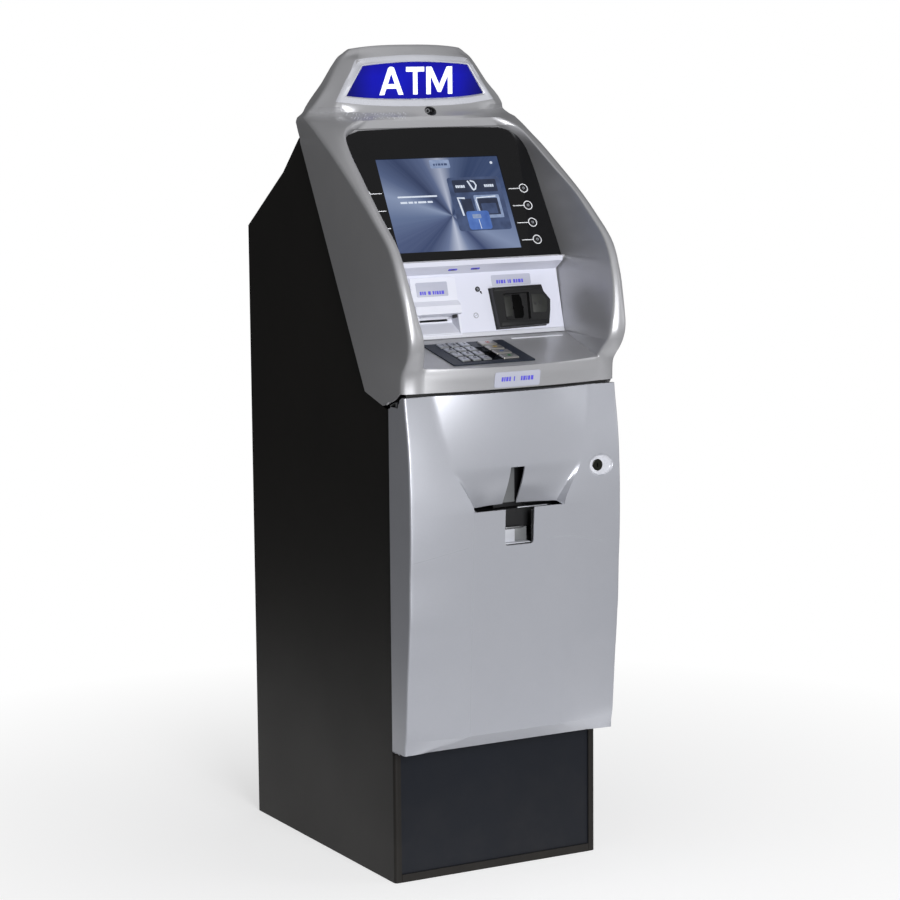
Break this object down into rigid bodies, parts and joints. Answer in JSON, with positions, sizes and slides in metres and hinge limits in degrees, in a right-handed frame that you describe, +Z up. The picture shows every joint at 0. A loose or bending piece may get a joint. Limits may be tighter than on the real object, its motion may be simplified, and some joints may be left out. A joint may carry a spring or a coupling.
{
  "type": "cash machine",
  "caption": "Free-standing indoor cash machine: dark steel cabinet with safe, silver lifting hood with screen, keypad, card and receipt slots, swinging front door with money scoop.",
  "frame": {"origin": "centre of the footprint on the floor", "axes": "+Z up, front faces -Y, +X to the machine's own right seen from the front as the viewer's right"},
  "size_m": [0.432, 0.632, 1.415],
  "materials": {
    "cabinet": "satin",
    "kick": "satin",
    "inner_steel": "matt",
    "safe": "matt",
    "inner_zinc": "brushed",
    "black_plastic": "matt",
    "dark_plastic": "matt",
    "bright_metal": "brushed",
    "lock_metal": "polished",
    "silver_paint": "satin metallic",
    "bezel_gloss": "gloss",
    "screen": "clear",
    "light_plastic": "satin",
    "receipt_plastic": "satin",
    "paper": "matt",
    "reader_plastic": "satin",
    "keypad_plate": "satin",
    "sign_blue": "gloss",
    "key_metal": "satin",
    "function_key": "satin"
  },
  "bodies": {
    "cabinet": {"side_panel_left": "cabinet", "side_panel_right": "cabinet", "rear_panel": "cabinet", "top_panel": "cabinet", "base_frame": "cabinet", "kick_panel": "kick", "pedestal": "inner_steel", "safe_body": "safe", "dispenser": "inner_steel", "computer": "inner_zinc", "power_inlet": "black_plastic", "door_hinge_lower": "bright_metal", "door_hinge_upper": "bright_metal", "hood_hinge": "bright_metal"},
    "door": {"door_shell": "silver_paint", "cash_tray": "black_plastic"},
    "hood": {"hood_shell": "silver_paint", "display_bezel": "bezel_gloss", "screen_glass": "screen", "lcd_module": "inner_zinc", "fascia_panel": "light_plastic", "receipt_bezel": "receipt_plastic", "receipt_printer": "dark_plastic", "card_reader_bezel": "reader_plastic", "card_reader_body": "inner_steel", "keypad_plate": "keypad_plate", "sign_lens": "sign_blue", "camera_window": "bezel_gloss"},
    "safe_door": {"safe_door": "safe"},
    "cassette": {"cash_cassette": "black_plastic"},
    "safe_handle": {"safe_handle": "bright_metal"},
    "safe_bolts": {"safe_bolts": "bright_metal"},
    "safe_dial": {"safe_dial": "black_plastic"},
    "door_lock": {"door_lock": "lock_metal"},
    "hood_lock": {"hood_lock": "lock_metal"},
    "paper_roll": {"paper_roll": "paper"},
    "function_key_l1": {"function_key_l1": "function_key"},
    "function_key_l2": {"function_key_l2": "function_key"},
    "function_key_l3": {"function_key_l3": "function_key"},
    "function_key_l4": {"function_key_l4": "function_key"},
    "function_key_r1": {"function_key_r1": "function_key"},
    "function_key_r2": {"function_key_r2": "function_key"},
    "function_key_r3": {"function_key_r3": "function_key"},
    "function_key_r4": {"function_key_r4": "function_key"},
    "key_1": {"key_1": "key_metal"},
    "key_2": {"key_2": "key_metal"},
    "key_3": {"key_3": "key_metal"},
    "key_4": {"key_4": "key_metal"},
    "key_5": {"key_5": "key_metal"},
    "key_6": {"key_6": "key_metal"},
    "key_7": {"key_7": "key_metal"},
    "key_8": {"key_8": "key_metal"},
    "key_9": {"key_9": "key_metal"},
    "key_blank_left": {"key_blank_left": "key_metal"},
    "key_0": {"key_0": "key_metal"},
    "key_blank_right": {"key_blank_right": "key_metal"},
    "key_cancel": {"key_cancel": "key_metal"},
    "key_clear": {"key_clear": "key_metal"},
    "key_help": {"key_help": "key_metal"},
    "key_enter": {"key_enter": "key_metal"}
  },
  "joints": [
    {"name": "door_swing", "type": "hinge", "parent": "cabinet", "child": "door", "pos_m": [-0.195, -0.2414, 0.53], "axis": [0, 0, 1], "range_deg": [-95, 0]},
    {"name": "hood_lift", "type": "hinge", "parent": "cabinet", "child": "hood", "pos_m": [0, 0.0901, 1.246], "axis": [1, 0, 0], "range_deg": [-50, 0]},
    {"name": "safe_door_swing", "type": "hinge", "parent": "cabinet", "child": "safe_door", "pos_m": [-0.183, -0.2249, 0.509], "axis": [0, 0, 1], "range_deg": [-95, 0]},
    {"name": "cassette_slide", "type": "slide", "parent": "cabinet", "child": "cassette", "axis": [0, -1, 0], "range_m": [0, 0.1801]},
    {"name": "safe_handle_turn", "type": "hinge", "parent": "safe_door", "child": "safe_handle", "pos_m": [0.12, -0.2259, 0.4], "axis": [0, 1, 0], "range_deg": [0, 70]},
    {"name": "safe_bolt_throw", "type": "slide", "parent": "safe_door", "child": "safe_bolts", "axis": [1, 0, 0], "range_m": [0, 0.012]},
    {"name": "safe_dial_spin", "type": "hinge", "parent": "safe_door", "child": "safe_dial", "pos_m": [0.12, -0.2259, 0.47], "axis": [0, 1, 0], "continuous": true},
    {"name": "door_lock_turn", "type": "hinge", "parent": "door", "child": "door_lock", "pos_m": [0.158, -0.2759, 0.703], "axis": [0, 1, 0], "range_deg": [0, 90]},
    {"name": "hood_lock_turn", "type": "hinge", "parent": "hood", "child": "hood_lock", "pos_m": [0.205, -0.0939, 1], "axis": [1, 0, 0], "range_deg": [-90, 0]},
    {"name": "paper_roll_spin", "type": "hinge", "parent": "hood", "child": "paper_roll", "pos_m": [-0.058, -0.00865, 0.93285], "axis": [1, 0, 0], "continuous": true},
    {"name": "function_key_l1_press", "type": "slide", "parent": "hood", "child": "function_key_l1", "axis": [0, 0.8799, -0.4752], "range_m": [0, 0.0012], "stiffness_N_per_m": 800, "springref_m": -0.001},
    {"name": "function_key_l2_press", "type": "slide", "parent": "hood", "child": "function_key_l2", "axis": [0, 0.8799, -0.4752], "range_m": [0, 0.0012], "stiffness_N_per_m": 800, "springref_m": -0.001},
    {"name": "function_key_l3_press", "type": "slide", "parent": "hood", "child": "function_key_l3", "axis": [0, 0.8799, -0.4752], "range_m": [0, 0.0012], "stiffness_N_per_m": 800, "springref_m": -0.001},
    {"name": "function_key_l4_press", "type": "slide", "parent": "hood", "child": "function_key_l4", "axis": [0, 0.8799, -0.4752], "range_m": [0, 0.0012], "stiffness_N_per_m": 800, "springref_m": -0.001},
    {"name": "function_key_r1_press", "type": "slide", "parent": "hood", "child": "function_key_r1", "axis": [0, 0.8799, -0.4752], "range_m": [0, 0.0012], "stiffness_N_per_m": 800, "springref_m": -0.001},
    {"name": "function_key_r2_press", "type": "slide", "parent": "hood", "child": "function_key_r2", "axis": [0, 0.8799, -0.4752], "range_m": [0, 0.0012], "stiffness_N_per_m": 800, "springref_m": -0.001},
    {"name": "function_key_r3_press", "type": "slide", "parent": "hood", "child": "function_key_r3", "axis": [0, 0.8799, -0.4752], "range_m": [0, 0.0012], "stiffness_N_per_m": 800, "springref_m": -0.001},
    {"name": "function_key_r4_press", "type": "slide", "parent": "hood", "child": "function_key_r4", "axis": [0, 0.8799, -0.4752], "range_m": [0, 0.0012], "stiffness_N_per_m": 800, "springref_m": -0.001},
    {"name": "key_1_press", "type": "slide", "parent": "hood", "child": "key_1", "axis": [0, 0.2069, -0.9784], "range_m": [0, 0.0015], "stiffness_N_per_m": 1500, "springref_m": -0.001},
    {"name": "key_2_press", "type": "slide", "parent": "hood", "child": "key_2", "axis": [0, 0.2069, -0.9784], "range_m": [0, 0.0015], "stiffness_N_per_m": 1500, "springref_m": -0.001},
    {"name": "key_3_press", "type": "slide", "parent": "hood", "child": "key_3", "axis": [0, 0.2069, -0.9784], "range_m": [0, 0.0015], "stiffness_N_per_m": 1500, "springref_m": -0.001},
    {"name": "key_4_press", "type": "slide", "parent": "hood", "child": "key_4", "axis": [0, 0.2069, -0.9784], "range_m": [0, 0.0015], "stiffness_N_per_m": 1500, "springref_m": -0.001},
    {"name": "key_5_press", "type": "slide", "parent": "hood", "child": "key_5", "axis": [0, 0.2069, -0.9784], "range_m": [0, 0.0015], "stiffness_N_per_m": 1500, "springref_m": -0.001},
    {"name": "key_6_press", "type": "slide", "parent": "hood", "child": "key_6", "axis": [0, 0.2069, -0.9784], "range_m": [0, 0.0015], "stiffness_N_per_m": 1500, "springref_m": -0.001},
    {"name": "key_7_press", "type": "slide", "parent": "hood", "child": "key_7", "axis": [0, 0.2069, -0.9784], "range_m": [0, 0.0015], "stiffness_N_per_m": 1500, "springref_m": -0.001},
    {"name": "key_8_press", "type": "slide", "parent": "hood", "child": "key_8", "axis": [0, 0.2069, -0.9784], "range_m": [0, 0.0015], "stiffness_N_per_m": 1500, "springref_m": -0.001},
    {"name": "key_9_press", "type": "slide", "parent": "hood", "child": "key_9", "axis": [0, 0.2069, -0.9784], "range_m": [0, 0.0015], "stiffness_N_per_m": 1500, "springref_m": -0.001},
    {"name": "key_blank_left_press", "type": "slide", "parent": "hood", "child": "key_blank_left", "axis": [0, 0.2069, -0.9784], "range_m": [0, 0.0015], "stiffness_N_per_m": 1500, "springref_m": -0.001},
    {"name": "key_0_press", "type": "slide", "parent": "hood", "child": "key_0", "axis": [0, 0.2069, -0.9784], "range_m": [0, 0.0015], "stiffness_N_per_m": 1500, "springref_m": -0.001},
    {"name": "key_blank_right_press", "type": "slide", "parent": "hood", "child": "key_blank_right", "axis": [0, 0.2069, -0.9784], "range_m": [0, 0.0015], "stiffness_N_per_m": 1500, "springref_m": -0.001},
    {"name": "key_cancel_press", "type": "slide", "parent": "hood", "child": "key_cancel", "axis": [0, 0.2069, -0.9784], "range_m": [0, 0.0015], "stiffness_N_per_m": 1500, "springref_m": -0.001},
    {"name": "key_clear_press", "type": "slide", "parent": "hood", "child": "key_clear", "axis": [0, 0.2069, -0.9784], "range_m": [0, 0.0015], "stiffness_N_per_m": 1500, "springref_m": -0.001},
    {"name": "key_help_press", "type": "slide", "parent": "hood", "child": "key_help", "axis": [0, 0.2069, -0.9784], "range_m": [0, 0.0015], "stiffness_N_per_m": 1500, "springref_m": -0.001},
    {"name": "key_enter_press", "type": "slide", "parent": "hood", "child": "key_enter", "axis": [0, 0.2069, -0.9784], "range_m": [0, 0.0015], "stiffness_N_per_m": 1500, "springref_m": -0.001}
  ],
  "couplings": [
    {"joint": "safe_door_swing", "follows": "door_swing", "ratio": 1},
    {"joint": "cassette_slide", "follows": "door_swing", "m_per_rad": -0.10856},
    {"joint": "safe_handle_turn", "follows": "safe_bolt_throw", "rad_per_m": 101.81}
  ]
}
